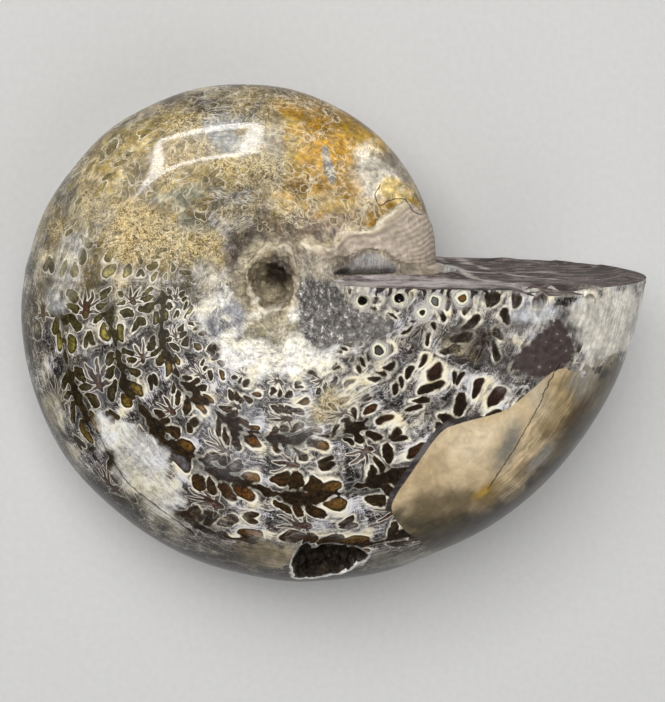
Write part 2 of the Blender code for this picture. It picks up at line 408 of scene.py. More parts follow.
# The ground colour of the flank and of the keel along the growth of the shell, in degrees; the keel's
# darkest, from 220 to 330 degrees, is partly dark stone and partly painted shade.
flankColours = {
    0: "A3967F", 9: "A3967F", 18: "B8914A", 72: "B99046", 84: "B4985A", 90: "9A8A58", 130: "B59C60",
    160: "9A844C", 182: "74674A", 215: "665E4E", 250: "7F7972", 290: "8A857E", 330: "7C756D",
    350: "8A847A", 365: "B5AFA4",
}
keelColoursAndShade = {
    0: "8E8371", 9: "8E8371", 18: "6C5530", 84: "745D34", 100: "605134", 165: "5A4F37", 182: "6F6858",
    220: "47443B", 245: "1A1916", 275: "221E16", 300: "1F1C17", 330: "1F1B15", 350: "4A443A", 365: "A9A498",
}
# Leaves of the suture: olive on the older part, amber, near black, then brown.
leafColours = {
    0: "B98A35", 80: "9C8440", 170: "7F7640", 200: "6E6428", 225: "5E4616", 262: "603D18", 290: "503A1A",
    315: "331C10", 345: "241814", 365: "3A2814",
}

# How strongly each marking shows along the growth of the shell, in degrees.
growthShares = {
    "sutures": ((60, 88, 150, 178, 186), (0.35, 0.4, 0.6, 0.85, 1.0)),
    "mottle": ((60, 80, 90, 165, 190), (0.15, 0.15, 0.25, 0.4, 1.0)),
    "lace": ((78, 90, 165, 185), (0.12, 0.56, 0.62, 0.05)),
    "mottleFade": ((0, 150, 205), (0.45, 0.45, 1.0)),
    "laceFade": ((80, 90), (0.35, 0.85)),
}


def alongGrowth(turn, colours):
    # colours at each growth angle, mixed from the two nearest that are given
    stops = sorted(colours)
    linear = np.array([srgb(colours[stop]) for stop in stops])
    return np.stack([np.interp(turn, stops, linear[:, channel]) for channel in range(3)], 1)


def blend(old, new, share):
    # share is how much of the new one shows at each point
    return old + (np.asarray(new) - old) * share[:, None]


def softPatch(flat, wander, patch):
    # 1 in the middle of an oval patch, fading out over its uneven edge
    x, y, halfLength, halfWidth, turn, softness = patch[:6]
    angle = math.radians(turn)
    away = flat - (x, y)
    along = (away[:, 0] * math.cos(angle) + away[:, 1] * math.sin(angle)) / halfLength
    across = (away[:, 1] * math.cos(angle) - away[:, 0] * math.sin(angle)) / halfWidth
    size = np.hypot(along, across) + 0.22 * np.clip(wander, -1.2, 1.2)
    return fadeOut(size, 1.0 - softness, 1.0 + softness)


# The suture repeats at each chamber wall. Its rows of leaves lie at fixed shares of the way out to the keel.
suture = {
    "firstTip": 199.5,  # growth angle at which one wall's leaf tips end, in degrees
    "step": 23.0,  # one chamber
    "rowShares": (0.14, 0.205, 0.318, 0.43, 0.61, 0.81, 0.96),
    "rows": (-2.0, -1.0, 0.0, 1.0, 2.0, 3.0, 4.0),
    "drift": (190.0, -0.024, 285.0, 0.043),  # rows move out to the keel as the shell grows
    "rowHeight": 0.31,  # a row's height, as an angle seen from the coil axis
    # leaves: centre along and across the row, half-length and half-width, all as angles, then turn
    "tipLeaf": ((-0.060, 0.047), (0.058, 0.033), 8),
    "sideLeaves": (
        ((-0.156, 0.079), (0.058, 0.034), 36),
        ((-0.236, 0.073), (0.045, 0.028), 64),
        ((-0.302, 0.066), (0.050, 0.029), 44),
    ),
    "stem": (0.013, 0.024),  # half-width between the tip leaves, and how much wider half-way back
    "starFingers": (
        ((-0.225, 0.000), (0.042, 0.019), 0),
        ((-0.290, 0.018), (0.052, 0.0095), -14),
        ((-0.268, 0.044), (0.046, 0.0095), -46),
        ((-0.212, 0.042), (0.034, 0.0090), -96),
    ),
    "tongue": ((-0.050, 0.014), (0.040, 0.019), 12),
}


def sutureRow(turn, share):
    # which row of leaves a point is in, and how far it is from the row's middle, as one number
    startTurn, startDrift, endTurn, endDrift = suture["drift"]
    drift = np.interp(turn, (startTurn, endTurn), (startDrift, endDrift)) * smoothStep(1 - share, 0, 0.2)
    return np.interp(share - drift, suture["rowShares"], suture["rows"])


umbilicus = {"centre": (1.2, 1.8), "halfSizes": (5.9, 7.2)}  # its rim, in mm of the coil's own axes


def umbilicusRim(points):
    # 1 on the rim and less inside it
    away = (points[:, :2] - umbilicus["centre"]) / umbilicus["halfSizes"]
    return np.hypot(*away.T) + 0.03 * ripple(points, 4.0, 15)


carving = {
    "swell": 0.10,  # mm, how far the long swells of the polished flank stand out
    "swellSize": 26.0,
    "skinStep": 0.5,  # how far the outer shell stands over the polished part
    "facetDepth": 0.7,
    "hollowDepth": 2.6,
    "pitRadius": 1.25,
    "pitDepth": 1.8,
    "crackDepth": 0.25,
    "umbilicusLip": 0.45,
    "umbilicusDepth": 0.9,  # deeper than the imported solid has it
    "roughGround": 0.20,  # on the matrix round the coil axis
    "chipDepth": 1.3,
}


def carveShell(piece):
    mesh = piece.data
    places = readAll(mesh.vertices, "co")
    normals = readAll(mesh.vertex_normals, "vector")
    points = toCoil(places)
    _, _, reach = coilPlace(points)
    flat = points[:, :2]
    near = smoothStep(points[:, 2], 0.0, 3.0)
    polished = smoothStep(reach, 8.0, 16.0) * smoothStep(np.abs(overSaw(points)), 0.0, 3.0)
    lift = carving["swell"] * ripple(points, carving["swellSize"], 5) * polished

    centre = fadeOut(reach, 5.0, 11.0)
    lift += centre * carving["roughGround"] * (0.7 * ripple(points, 2.8, 11) + 0.6 * ripple(points, 1.3, 12))
    hole = umbilicusRim(points)
    lift += near * carving["umbilicusLip"] * np.exp(-(((hole - 1.0) / 0.09) ** 2))
    lift -= near * carving["umbilicusDepth"] * fadeOut(hole, 0.45, 0.95)
    skin = insideDistance(flat, nearPlaces["skin"]) + 0.4 * ripple(points, 5.0, 7)
    lift += near * carving["skinStep"] * fadeOut(skin, -0.5, 0.3)
    facet = insideDistance(flat, nearPlaces["facet"])
    lift -= near * carving["facetDepth"] * fadeOut(facet, -0.9, 0.1) * fadeOut(flat[:, 1], 3.0, 7.2)
    hollow = insideDistance(flat, nearPlaces["hollow"]) + 0.25 * ripple(points, 3.5, 9)
    floor = carving["hollowDepth"] * (1.0 + 0.3 * ripple(points, 2.8, 13))
    lift -= near * floor * fadeOut(hollow, -1.3, -0.1)
    for pit in nearPlaces["pits"]:
        gap = np.hypot(flat[:, 0] - pit[0], flat[:, 1] - pit[1])
        lift -= near * carving["pitDepth"] * fadeOut(gap, 0.55, carving["pitRadius"])
    crack, _ = lineDistance(flat, nearPlaces["crack"])
    lift -= near * carving["crackDepth"] * fadeOut(crack, 0.1, 0.7)
    places = places + normals * (lift * mm)[:, None]

    # chips out of the rim between the near flank and the sawn face
    atRim = near * fadeOut(np.abs(overSaw(points)), 0.2, 2.2) * smoothStep(points[:, 2], 16.0, 20.0)
    atRim *= smoothStep(points[:, 0], 50.0, 56.0) * fadeOut(points[:, 0], 77.0, 81.0)
    broken = smoothStep(ripple(points * (1, 0.3, 0.3), 5.0, 21), 0.0, 0.9)
    down = np.array(coilTurn @ Vector((0.0, -1.0, -0.25)))
    places += down * (carving["chipDepth"] * mm * atRim * broken)[:, None]

    low, high = (np.array(corner) for corner in cadBox)
    places = np.clip(places, low, high)
    mesh.vertices.foreach_set("co", places.ravel())
    mesh.update()
    print("shell carved")


# The sawn face, on X and Z of the coil's own axes: the same for its patches, then lines of pale veins.
sawnPatches = [
    (30, 19, 22, 5.5, -3, 0.5, "CFC5C3"),
    (24, 9, 9, 8, 0, 0.5, "BDB2B3"),
    (22, -3, 8, 5, 0, 0.4, "8C8B92"),
    (34, -8, 7, 9, 0, 0.5, "857C7E"),
    (66, 18, 12, 7, -35, 0.5, "544642"),
]
sawnVeins = [
    [(39.5, -24), (41, -12), (43, 7), (47, 13)],
    [(44, -26), (47.5, -10), (52.5, 2), (62, 9)],
    [(38, 3), (50, 1), (62, -3)],
]
farAway = 30.0  # mm, written where an edge isn't on this side


def writeColour(mesh, name, columns):
    layer = mesh.attributes.new(name, "FLOAT_COLOR", "POINT")
    values = np.ones((len(mesh.vertices), 4), np.float32)
    for index, column in enumerate(columns):
        values[:, index] = column
    layer.data.foreach_set("color", values.ravel())


def paintShell(piece, points):
    # writes what the material reads at each vertex: colours and how strongly each marking shows
    mesh = piece.data
    turn, share, reach = coilPlace(points)
    flat = points[:, :2]
    nearSide = points[:, 2] > 0
    wander = ripple(points, 7.0, 3) + 0.5 * ripple(points, 3.0, 4)

    toKeel = smoothStep(share + 0.02 * wander, 0.84, 0.97)
    ground = blend(alongGrowth(turn + 4 * wander, flankColours), alongGrowth(turn, keelColoursAndShade), toKeel)
    ground = ground * (1.0 + 0.12 * ripple(points, 9.0, 6))[:, None]
    leaf = alongGrowth(turn, leafColours)
    sutures = np.interp(turn, *growthShares["sutures"]) * (1.0 - 0.75 * smoothStep(share, 0.86, 0.93))
    mottle = np.interp(turn, *growthShares["mottle"])
    lace = np.interp(turn, *growthShares["lace"])
    pale = 0.06 * between(turn, 190, 225, 318, 335) - 0.20 * between(turn, 176, 190, 225, 260)
    # painted shade: much darker towards the keel from 215 to 352 degrees, on its side away from the light
    pale -= 0.7 * toKeel * between(turn, 215, 232, 342, 352)
    look = np.column_stack([ground, sutures, mottle, lace, pale])
    gloss = smoothStep(reach, 15.0, 27.0)

    def lay(where, code, *shares):
        # a colour, then how strongly sutures, mottling, lace and paleness show in it
        nonlocal look
        look = blend(look, [*srgb(code), *shares, *[0.0] * (4 - len(shares))], where)

    def outside(gap):
        return np.where(nearSide, gap, farAway)

    crescent = smoothStep(turn + 6 * wander, 182, 200) * fadeOut(turn + 3 * wander, 325, 342)
    lay(crescent * fadeOut(share + 0.012 * wander, 0.262, 0.30), "F4F0E6", 0.0, 0.55, 0.15, 0.6)

    # what reaches the keel runs on a little way over it
    overKeel = smoothStep(points[:, 2] + 1.5 * wander, -6.0, -1.0)
    for patch in nearPatches:
        lay(softPatch(flat, wander, patch) * overKeel, *patch[6:])
    inside = {}
    for name in ("flesh", "hollow", "paleCloud", "greyMatrix", "skin", "facet", "darkShard", "paleTip"):
        gap = insideDistance(flat, nearPlaces[name])
        overEdge = -6.0 - points[:, 2] + 2.5 * ripple(points, 8.0, 52)
        inside[name] = np.maximum(gap, overEdge) if name in ("flesh", "paleTip") else outside(gap)
    lay(fadeOut(inside["paleCloud"] + 0.8 * wander, -1.2, 0.8), "C9CBCE", 0.22, 0.5, 0.1, 0.4)
    lay(softPatch(flat, wander, creamEdge) * nearSide, *creamEdge[6:])
    lay(fadeOut(inside["greyMatrix"], -0.3, 1.5), "8A867F", 0.0, 0.6, 0.2)
    lay(fadeOut(inside["paleTip"] + 0.7 * wander, -0.8, 0.8), "D6D1C4", 0.08, 0.16, 0.0, 0.15)
    flesh = np.tile(srgb("C2AC88"), (len(points), 1)) * (1.0 + 0.05 * ripple(points, 7.0, 41))[:, None]
    for patch in fleshPatches:
        flesh = blend(flesh, srgb(patch[6]), softPatch(flat, wander, patch))
    flesh = blend(flesh, look[:, :3], smoothStep(share + 0.02 * wander, 0.90, 0.985))
    # fibrous past the crack, whose top and slope these are
    pastCrack = smoothStep(26.6 * (flat[:, 0] - 61.5) - 13.9 * (flat[:, 1] + 16) + 20 * wander, 0.0, 50.0)
    pastCrack = np.maximum(pastCrack, 0.6 * smoothStep(-flat[:, 1], 46.0, 50.0))
    # by the pale tip the stone's edge is ragged and blurred
    blurred = smoothStep(flat[:, 0], 62.0, 66.0) * smoothStep(flat[:, 1], -24.0, -20.0)
    inside["flesh"] = (inside["flesh"] + 1.6 * blurred * ripple(points, 3.5, 51)) * (1 - 0.9 * blurred)
    band = smoothStep(flat[:, 1] - 1.2 * flat[:, 0] + wander, -82.0, -76.0)
    skin = fadeOut(inside["skin"] + 0.4 * ripple(points, 5.0, 7), -0.3, 0.2)
    lay(skin, "B4A695", 0.0, 0.03)
    lip, _ = lineDistance(flat, nearPlaces["skinLip"])
    # a pale crest along the outer shell's edge: cream stone with a painted highlight
    lay(fadeOut(lip + 0.15 * wander, 0.3, 1.2) * nearSide, "CDBFA2", 0.0, 0.1)
    facet = fadeOut(inside["facet"], -0.2, 0.25)
    lay(facet, "94918F", 0.0, 0.4, 0.0, 0.12)
    # painted shadow along the facet's lower edge, where it dips below the flank
    lay(facet * fadeOut(flat[:, 1], 3.7, 4.6), "3B332E", 0.0, 0.2)
    hollowEdge = inside["hollow"] + 0.25 * ripple(points, 3.5, 9)
    hollow = fadeOut(hollowEdge, -0.5, -0.1)
    lay(hollow, "1E1912", 0.0, 0.05)
    for x, y, core, _ in nearPlaces["rings"]:
        gap = outside(np.hypot(flat[:, 0] - x, flat[:, 1] - y))
        lay(fadeOut(gap, core + 0.9, core + 1.9), "A8A49A", 0.0, 0.3, 0.0, 0.1)
    mottleFade = np.interp(turn + 8.0 * wander, *growthShares["mottleFade"])
    look[:, 4] *= mottleFade * (0.3 + 0.7 * smoothStep(reach, 6.0, 12.0))
    look[:, 5] *= np.interp(turn, *growthShares["laceFade"])
    # painted shade: darker deep in the hole round the coil axis
    look[:, 6] -= 0.5 * fadeOut(reach, 3.0, 6.5)
    cracks = np.full(len(points), farAway)
    acrossCrack = cracks
    for name in ("crack", "goldCrack", "paleCloudCrack"):
        gap, side = lineDistance(flat, nearPlaces[name])
        gap = outside(gap)
        acrossCrack = np.where(gap < cracks, gap * side, acrossCrack)
        cracks = np.minimum(cracks, gap)
    fromSaw = np.abs(overSaw(points))
    # a pale line along the saw edge: a painted highlight on the edge
    sawEdgeHighlight = 0.7 * fadeOut(fromSaw, 0.25, 0.8) * smoothStep(flat[:, 0], 12.0, 16.0) * nearSide
    lay(sawEdgeHighlight, "CFC9BC", 0.3, 0.3, 0.0, 0.2)
    gloss = gloss * (1 - 0.7 * skin) * (1 - hollow)

    sawnPlace = points[:, ::2]
    sawn = np.tile(srgb("33241F"), (len(points), 1)) * (1.0 + 0.25 * ripple(points, 9.0, 31))[:, None]
    for patch in sawnPatches:
        sawn = blend(sawn, srgb(patch[6]), softPatch(sawnPlace, wander, patch))
    veins = np.zeros(len(points))
    for line in sawnVeins:
        gap, _ = lineDistance(sawnPlace, line)
        veins = np.maximum(veins, fadeOut(gap + 0.45 * wander, 0.1, 0.9))
    sawn = blend(sawn, srgb("CDC2BA"), 0.85 * veins)

    rimWide = 0.85 + 0.75 * smoothStep(turn, 218.0, 262.0) + 0.7 * smoothStep(turn, 300.0, 318.0)
    unevenTurn = turn + 8.0 * wander
    clear = fadeOut(unevenTurn, 158.0, 212.0) * (1 - skin) * (1 - facet)
    clear *= smoothStep(reach + wander, 10.0, 14.0) * smoothStep(np.abs(flat[:, 1] - 4.5) + fromSaw, 1.5, 4.0)
    noStem = np.maximum(smoothStep(turn, 303.0, 318.0), fadeOut(unevenTurn, 168.0, 190.0))
    coated = gloss * (1 - 0.85 * smoothStep(share, 0.76, 0.93))
    for name, columns in (
        ("sawnStone", sawn.T),
        ("ground", look.T[:3]),
        ("leaf", (*leaf.T, rimWide)),
        ("fleshStone", (*flesh.T, band)),
        ("edges", (inside["flesh"], inside["darkShard"], inside["greyMatrix"], cracks)),
        ("markings", look.T[3:]),
        ("surface", (gloss, skin, noStem, coated)),
    ):
        writeColour(mesh, name, columns)
    belowSaw = nearSide & (flat[:, 0] > 12.0) & (overSaw(points) < 0.6)
    for name, values in (
        ("hollowEdge", hollowEdge),
        ("skinLip", outside(lip * np.where(inside["skin"] > 0, 1, -1))),
        ("holeLip", outside((umbilicusRim(points) - 1) * 6.0)),
        ("acrossCrack", acrossCrack),
        ("fromSaw", np.where(belowSaw, fromSaw, farAway)),
        ("pastCrack", pastCrack),
        ("reach", reach),
        ("clear", clear),
    ):
        mesh.attributes.new(name, "FLOAT", "POINT").data.foreach_set("value", values.astype(np.float32))
    print("shell painted")


def unrollShell(piece, points):
    # a UV map that counts chambers along the coil and rows of leaves across it
    mesh = piece.data
    faces = readAll(mesh.loops, "vertex_index", 1, int).reshape(-1, 3)  # the mesh is all triangles
    middle = points[faces].mean(axis=1)
    middleTurn, _, _ = coilPlace(middle)
    x, y, _ = points.T
    angle = np.degrees(np.arctan2(y / coil["crush"], x))
    turn = angle[faces]
    turn += 360.0 * np.round((middleTurn[:, None] - turn) / 360.0)
    reach = np.hypot(x, y / coil["crush"])[faces]
    share = reach / keelRadius(turn)
    chambers = (turn - suture["firstTip"]) / suture["step"]
    chambers += np.where(middle[:, 2] > 0, 20.0, 60.37)[:, None]  # the far flank's walls fall elsewhere
    rows = sutureRow(turn.ravel(), share.ravel())
    layer = mesh.uv_layers.new(name="coil")
    layer.uv.foreach_set("vector", np.stack([chambers.ravel(), rows], 1).ravel().astype(np.float32))
    return middle


def chooseMaterials(piece, middle):
    # second slot for the sawn face
    mesh = piece.data
    outOfSaw = Vector((math.tan(math.radians(coil["sawTurn"])), 1.0, math.tan(math.radians(coil["sawLean"]))))
    facing = readAll(mesh.polygons, "normal") @ np.array(coilTurn @ outOfSaw.normalized())
    reach = np.hypot(middle[:, 0], middle[:, 1])
    sawn = (np.abs(overSaw(middle)) < 0.9) & (facing > 0.8) & (reach > coil["sawStart"])
    mesh.polygons.foreach_set("material_index", sawn.astype(np.int32))
    mesh.update()


# What the polished shell's material reads at each vertex: colours with a fourth value, and numbers.
writtenColours = ("ground", "leaf", "markings", "surface", "fleshStone", "edges")
writtenNumbers = ("hollowEdge", "skinLip", "holeLip", "acrossCrack", "fromSaw", "pastCrack", "reach", "clear")

# Paint along a distance or a pattern: place, colour, and how strongly it covers, fully unless it says.
paints = {
    "leaf": [  # places are in mm, outwards from the edge
        (-2.0, "17110A", 1.0), (-0.55, "1A130B", 1.0), (-0.22, "1F170D", 1.0), (-0.04, "3A2E1E", 1.0),
        (0.03, "E9DFC6", 1.0), (0.16, "F2ECDC", 0.95), (0.30, "D2CCBE", 0.6), (0.44, "8C857B", 0.30),
        (0.56, "5A544E", 0.25), (0.70, "CFCCC6", 0.36), (0.86, "CFCCC6", 0.2), (1.15, "B9B8BC", 0.0),
    ],
    "star": [  # in mm too
        (-2.0, "55301C", 1.0), (-0.8, "4A2A1A", 1.0), (-0.30, "35201A", 1.0), (-0.04, "2E221E", 1.0),
        (0.03, "E8E0CE", 0.95), (0.13, "E8E0CE", 0.85), (0.24, "8E8882", 0.3), (0.5, "3A332F", 0.2),
        (0.9, "3A332F", 0.0),
    ],
    "field": [  # the stone between, from dark to pale
        (0.00, "140E0A"), (0.28, "211712"), (0.44, "3B2F28", 0.97), (0.55, "6C6562", 0.93),
        (0.66, "A4A1A3", 0.9), (0.80, "D4D0C6", 0.9), (1.0, "F2ECDA"),
    ],
    "tint": [(0.40, "E6E8FA"), (0.50, "FBF8F2"), (0.60, "FFF3D2")],
    "chalk": [
        (0.30, "2E2924", 0.9), (0.38, "5E5851", 0.8), (0.43, "9E9A92", 0.5), (0.49, "E4DFD0", 0.1),
        (0.58, "F4F1E8", 0.4), (0.66, "FBF9F4", 0.6),
    ],
    "loop": [
        (0.0, "6B5426", 0.3), (0.48, "4E3D1C", 0.5), (0.55, "4A391D", 0.4), (0.62, "F2E6C8", 0.75),
        (0.70, "EBDDBA", 0.6), (0.84, "E3D3AC", 0.15), (0.96, "E3D3AC", 0.0),
    ],
    "lace": [
        (0.36, "4A3A1A", 0.75), (0.44, "735C2E", 0.6), (0.475, "DFC582", 0.8), (0.51, "F0DFAF", 0.95),
        (0.54, "B08F4C", 0.45), (0.63, "5A4624", 0.7),
    ],
    "ring": [  # outside the core
        (0.31, "1A140D"), (0.36, "E9E3C8"), (0.48, "DDD8C4", 0.95), (0.53, "8F8A80", 0.7),
        (0.58, "D8D5CB", 0.7), (0.66, "8F8C88", 0.3), (0.78, "8F8C88", 0.0),
    ],
    "matrix": [(0.34, "35312E"), (0.46, "635F5B"), (0.54, "7E7A75"), (0.59, "ADA9A1"), (0.63, "E6E2D8")],
    "shard": [(0.3, "3A302E"), (0.64, "4F4542"), (0.74, "9A928C")],
    "band": [(0.1, "332E2C"), (0.9, "625C5A")],
    "hollow": [
        (0.0, "17120C"), (0.62, "1A150E"), (0.70, "2B241A"), (0.735, "E4E2DC"), (0.80, "CFCDC7", 0.8),
        (0.86, "CFCDC7", 0.0),
    ],
    # the pale crest at a lip is partly a painted highlight; its darker stops are painted shade
    "lip": [
        (0.0, "85735D", 0.0), (0.28, "85735D", 0.55), (0.42, "8C7A63", 0.5), (0.56, "D9CBB0", 0.8),
        (0.74, "E9DEC8", 0.95), (0.83, "BFAE90", 0.5), (0.87, "5A4A38", 0.5), (1.0, "5A4A38", 0.0),
    ],
    "bladeLines": [
        (0.36, "150D0C", 0.75), (0.46, "1D1413", 0.3), (0.51, "8A7B74", 0.0), (0.56, "9C8D86", 0.4),
        (0.60, "B9ABA3", 0.6), (0.64, "7A6C66", 0.2),
    ],
}
# Thin lines in the stone: size of their curls in mm, how wide and strong they are, and colour.
threads = {
    "field": [(2.6, 0.026, 0.8, "D9D6D0"), (1.1, 0.036, 0.65, "D9D6D0")],
    "clear": [(5.5, 0.024, 0.7, "EADDBE"), (2.2, 0.028, 0.36, "ECE0C2"), (3.6, 0.008, 0.9, "3A2A16")],
}


def addNode(tree, kind, feeds=(), stops=(), **settings):
    # adds a node. kind is its name, then its operation if it has one. feeds are values, hex colours or
    # what to link, in the order of its inputs or by their names. stops are a colour ramp's places,
    # colours and how strongly each covers.
    name, _, operation = kind.partition(" ")
    node = tree.nodes.new("ShaderNode" + name)
    if operation:
        node.operation = operation
    for setting, value in settings.items():
        setattr(node, setting, value)
    if isinstance(feeds, dict):
        pairs = [(node.inputs[socket], feed) for socket, feed in feeds.items()]
    else:
        pairs = zip([socket for socket in node.inputs if socket.enabled], feeds)
    for socket, feed in pairs:
        if isinstance(feed, bpy.types.Node):
            feed = next(output for output in feed.outputs if output.enabled)
        if isinstance(feed, bpy.types.NodeSocket):
            tree.links.new(feed, socket)
        elif feed is not None:
            socket.default_value = (*srgb(feed), 1.0) if isinstance(feed, str) else feed
    if stops:
        points = node.color_ramp.elements
        points.remove(points[1])
        for index, (position, code, *share) in enumerate(stops):
            point = points.new(position) if index else points[0]
            point.position = position
            point.color = (*srgb(code), *(share or [1.0]))
    return node


def startMaterial(name):
    # an empty material, a way to add its nodes, and the place on the piece in millimetres
    material = bpy.data.materials.new(name)
    material.use_nodes = True
    material.node_tree.nodes.clear()
    add = functools.partial(addNode, material.node_tree)
    place = add("VectorMath MULTIPLY", [add("TexCoord").outputs["Object"], (1000,) * 3])
    return material, add, place


def makeLeafGroup():
    # distance to the outline of one leaf, an ellipse, negative inside
    group = bpy.data.node_groups.new("leafOutline", "ShaderNodeTree")
    for name, kind in (("Place", "Vector"), ("Centre", "Vector"), ("Size", "Vector"), ("Turn", "Float")):
        group.interface.new_socket(name, in_out="INPUT", socket_type="NodeSocket" + kind)
    group.interface.new_socket("Distance", in_out="OUTPUT", socket_type="NodeSocketFloat")
    place, centre, size, turn, _ = group.nodes.new("NodeGroupInput").outputs
    add = functools.partial(addNode, group)
    away = add("VectorMath SUBTRACT", [place, centre])
    back = add("Math MULTIPLY", [turn, -1.0])
    turned = add("VectorRotate", [away, (0, 0, 0), back], rotation_type="Z_AXIS")
    # each leaf is wider towards its tip
    lengthwise = add("SeparateXYZ", [turned])
    halfLength = add("SeparateXYZ", [size])
    toTip = add("Math DIVIDE", [lengthwise, halfLength])
    narrower = add("MapRange", [toTip, -1.0, 1.0, 1.35, 0.84])
    eggWidth = add("CombineXYZ", [1.0, narrower, 1.0])
    turned = add("VectorMath MULTIPLY", [turned, eggWidth])
    once = add("VectorMath DIVIDE", [turned, size])
    twice = add("VectorMath DIVIDE", [once, size])
    outer = add("VectorMath LENGTH", [once])
    slope = add("VectorMath LENGTH", [twice])
    past = add("Math SUBTRACT", [outer, 1.0])
    scaled = add("Math MULTIPLY", [outer, past])
    distance = add("Math DIVIDE", [scaled, slope])
    group.links.new(distance.outputs["Value"], group.nodes.new("NodeGroupOutput").inputs["Distance"])
    return group


def makePolishedShell():
    # Shell turned to calcite and aragonite, its chambers filled with clear calcite, ground and polished:
    # the eye looks through a glossy surface at cream, grey and amber stone with the fern-like sutures in it.
    material, add, place = startMaterial("polishedFossilShell")
    coilMap = add("UVMap", uv_map="coil")
    colours = {name: add("Attribute", attribute_name=name) for name in writtenColours}
    alphas = {name: node.outputs["Alpha"] for name, node in colours.items()}
    written = {name: add("Attribute", attribute_name=name).outputs["Fac"] for name in writtenNumbers}
    ground, leafColour = colours["ground"], colours["leaf"]
    sutures, mottle, laced = add("SeparateColor", [colours["markings"]]).outputs
    gloss, skin, noStem = add("SeparateColor", [colours["surface"]]).outputs
    fleshEdge, shardEdge, matrixEdge = add("SeparateXYZ", [colours["edges"].outputs["Vector"]]).outputs
    reach, clear = written["reach"], written["clear"]

    def layPaint(under, paint, *shares):
        # one colour over another, as strongly as its shares multiplied
        share = shares[0]
        for other in shares[1:]:
            share = add("Math MULTIPLY", [share, other])
        return add("Mix", [share, under, paint], data_type="RGBA")

    # the rows sway over 8 mm and curl over 2.8 mm, and every edge is frilled at 1.3 mm
    sway = add("TexNoise", [place, 1 / 8, 1.5, 0.5])
    curl = add("TexNoise", [place, 1 / 2.8, 1.0, 0.5])
    cellSize = (math.radians(suture["step"]), suture["rowHeight"])
    moved = coilMap
    for noise, size in ((sway, 4.0), (curl, 1.35)):
        curled = add("VectorMath SUBTRACT", [noise.outputs["Color"], (0.5, 0.5, 0.5)])
        step = add("VectorMath SCALE", [curled, add("Math DIVIDE", [size, reach])])
        moved = add("VectorMath MULTIPLY_ADD", [step, (1 / cellSize[0], 1 / cellSize[1], 0), moved])
    movedAlong, movedAcross, _ = add("SeparateXYZ", [moved]).outputs
    frill = add("TexNoise", [place, 1 / 1.3, 2.0, 0.6])
    frillStep = add("MapRange", [frill, 0.25, 0.75, -0.45, 0.45], clamp=False)

    def findWall(ahead):
        # the chamber wall that a point belongs to, and the angle between them along the growth
        wall = add("Math CEIL", [add("Math SUBTRACT", [movedAlong, ahead])])
        behind = add("Math SUBTRACT", [movedAlong, wall])
        return wall, add("Math MULTIPLY", [behind, cellSize[0]])

    def acrossFrom(row):
        # the angle between a point and the middle of a row, and its size on either side
        fromRow = add("Math SUBTRACT", [movedAcross, row])
        across = add("Math MULTIPLY", [fromRow, cellSize[1]])
        return across, add("Math ABSOLUTE", [across])

    # which chamber wall and which row of leaves this point is in, and where it is in that plant
    wall, along = findWall(0.07)
    row = add("Math ROUND", [movedAcross])
    across, folded = acrossFrom(row)
    upper = add("Math GREATER_THAN", [across, 0.0])
    chance = add("TexWhiteNoise", [add("CombineXYZ", [wall, row, upper])]).outputs["Color"]
    glowChance, leanChance, sizeChance = add("SeparateColor", [chance]).outputs
    shift = add("VectorMath SUBTRACT", [chance, (0.5, 0.5, 0.5)])
    shift = add("VectorMath MULTIPLY", [shift, (0.05, 0.014, 0.0)])
    plantPlace = add("VectorMath ADD", [add("CombineXYZ", [along, folded, 0.0]), shift])
    leafOutline = makeLeafGroup()

    def addLeaf(where, centre, size, turn):
        feeds = [where, centre, (*size, 1.0), math.radians(turn)]
        return add("Group", feeds, node_tree=leafOutline)

    tipCentre, tipSize, tipTurn = suture["tipLeaf"]
    outerRow = add("Math GREATER_THAN", [row, 0.5])
    tipAside = add("Math MULTIPLY", [outerRow, tipCentre[1]])
    tipLeaf = addLeaf(plantPlace, add("CombineXYZ", [tipCentre[0], tipAside, 0.0]), tipSize, tipTurn)
    lean = add("MapRange", [leanChance, 0.0, 1.0, math.radians(-16), math.radians(20)])
    leanedPlace = add("VectorRotate", [plantPlace, (-0.20, 0.03, 0.0), lean], rotation_type="Z_AXIS")
    sideLeaves = None
    for centre, size, turn in suture["sideLeaves"]:
        side = addLeaf(leanedPlace, (*centre, 0), size, turn)
        sideLeaves = add("Math MINIMUM", [sideLeaves, side]) if sideLeaves else side
    uneven = add("MapRange", [sizeChance, 0.0, 1.0, -0.005, 0.007])
    sideLeaves = add("Math ADD", [sideLeaves, uneven])

    # the stem runs on from plant to plant
    swell = add("Math COSINE", [add("Math MULTIPLY", [movedAlong, math.tau])])
    thin, wider = suture["stem"]
    stemWidth = add("MapRange", [swell, 1.0, -1.0, thin, thin + wider])
    stem = add("Math SUBTRACT", [folded, stemWidth])
    stem = add("Math ADD", [stem, add("Math LESS_THAN", [row, 0.5])])
    stem = add("Math MULTIPLY_ADD", [noStem, 0.08, stem])
    plant = add("Math SMOOTH_MIN", [sideLeaves, stem, 0.030])
    plant = add("Math SMOOTH_MIN", [plant, tipLeaf, 0.012])
    tipMm, sideMm, plantMm = (add("Math MULTIPLY", [angle, reach]) for angle in (tipLeaf, sideLeaves, plant))
    frilled = add("MapRange", [tipMm, -0.3, 1.2, 0.05, 0.45])
    plantMm = add("Math MULTIPLY_ADD", [frillStep, frilled, plantMm])
    fuzz = add("MapRange", [curl, 0.3, 0.7, -0.9, 0.9], clamp=False)
    onStem = add("MapRange", [stem, 0.0, 0.02, 1.0, 0.0])
    plantMm = add("Math ADD", [plantMm, add("Math MULTIPLY", [fuzz, onStem])])
    plantMm = add("Math MULTIPLY_ADD", [noStem, 0.2, plantMm])

